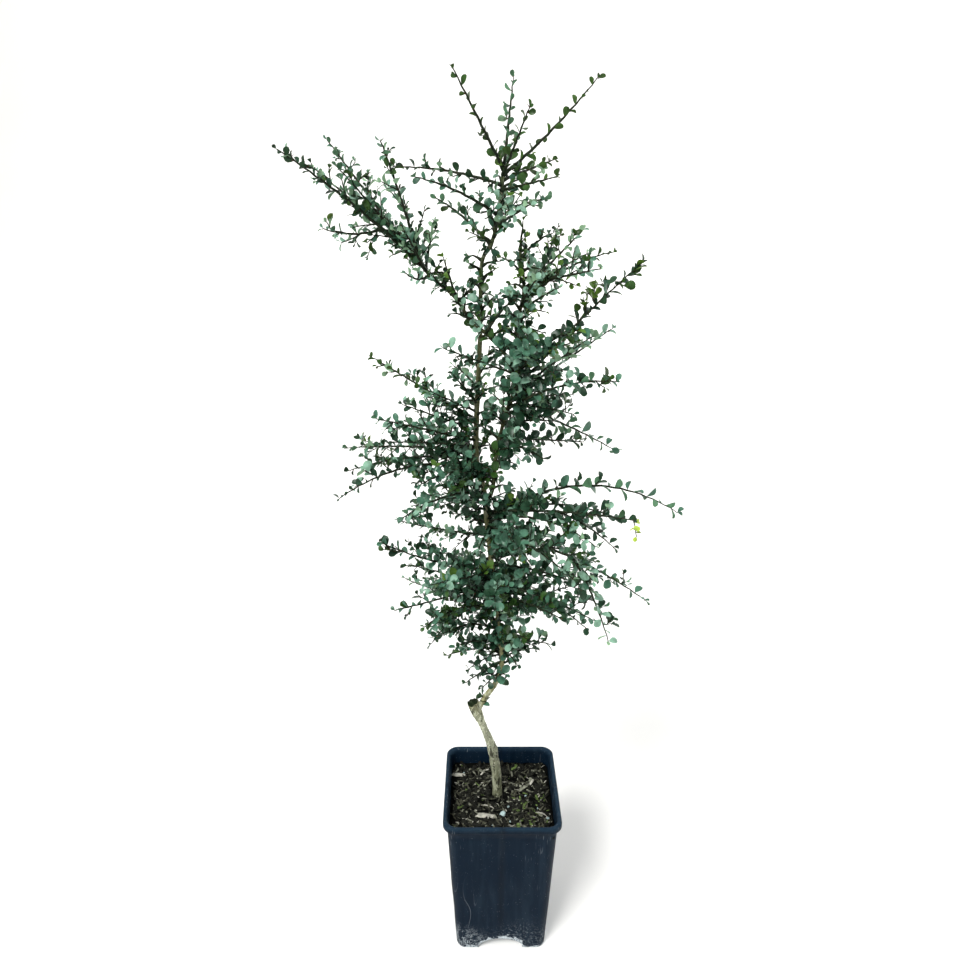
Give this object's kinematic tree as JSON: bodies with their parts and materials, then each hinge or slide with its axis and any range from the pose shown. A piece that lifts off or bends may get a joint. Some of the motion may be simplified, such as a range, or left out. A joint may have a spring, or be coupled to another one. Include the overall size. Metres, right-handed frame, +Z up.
{
  "type": "potted finger lime tree",
  "caption": "Young finger lime tree with a crooked trunk, slender thorny shoots and small dark leaves, growing in a square plastic nursery pot.",
  "frame": {"origin": "middle of the pot's underside, level with the ground that it stands on", "axes": "+Z up, +X to the right and +Y away from the viewer as in the picture"},
  "size_m": [0.4649, 0.2731, 1.1459],
  "materials": {
    "pot_plastic": "satin dark blue-grey plastic, dusty and scuffed",
    "potting_mix": "damp dark brown mix with bark chips",
    "trunk_bark": "dull pale grey-tan bark, fissured at the foot",
    "bough_bark": "dull olive-brown young bark",
    "foliage": "satin dark blue-green leaves"
  },
  "bodies": {
    "root": {"pot": "pot_plastic", "soil": "potting_mix", "trunk": "trunk_bark", "bough_right": "bough_bark", "bough_left": "bough_bark", "foliage_back_lower": "foliage", "foliage_bright_long": "foliage", "foliage_fan_long": "foliage", "foliage_fan_middle": "foliage", "foliage_fan_small": "foliage", "foliage_fan_upright": "foliage", "foliage_foot_left_back": "foliage", "foliage_foot_left_front": "foliage", "foliage_foot_lowest": "foliage", "foliage_foot_right_back": "foliage", "foliage_foot_right_front": "foliage", "foliage_front_high": "foliage", "foliage_front_lower": "foliage", "foliage_front_right": "foliage", "foliage_front_upper": "foliage", "foliage_head_front": "foliage", "foliage_head_left_front": "foliage", "foliage_head_left_long": "foliage", "foliage_head_left_low": "foliage", "foliage_head_right_back": "foliage", "foliage_head_right_front": "foliage", "foliage_head_right_low": "foliage", "foliage_leader_bright": "foliage", "foliage_leader_cross": "foliage", "foliage_leader_low": "foliage", "foliage_left_foot_front": "foliage", "foliage_left_front_tuft": "foliage", "foliage_left_level_front": "foliage", "foliage_left_long_back": "foliage", "foliage_left_long_front": "foliage", "foliage_left_low_back": "foliage", "foliage_left_low_front": "foliage", "foliage_left_middle_back": "foliage", "foliage_left_middle_front": "foliage", "foliage_left_tuft": "foliage", "foliage_left_upper_back": "foliage", "foliage_left_upper_front": "foliage", "foliage_right_back_low": "foliage", "foliage_right_back_middle": "foliage", "foliage_right_drooping": "foliage", "foliage_right_falling": "foliage", "foliage_right_high": "foliage", "foliage_right_inner": "foliage", "foliage_right_longest": "foliage", "foliage_right_low_back": "foliage", "foliage_right_low_front": "foliage", "foliage_right_middle": "foliage", "foliage_right_spread": "foliage", "foliage_right_tip": "foliage", "foliage_right_upper_back": "foliage", "foliage_right_upper_front": "foliage", "foliage_top_back": "foliage", "foliage_top_front": "foliage", "foliage_top_left": "foliage", "foliage_top_right": "foliage"}
  },
  "joints": []
}
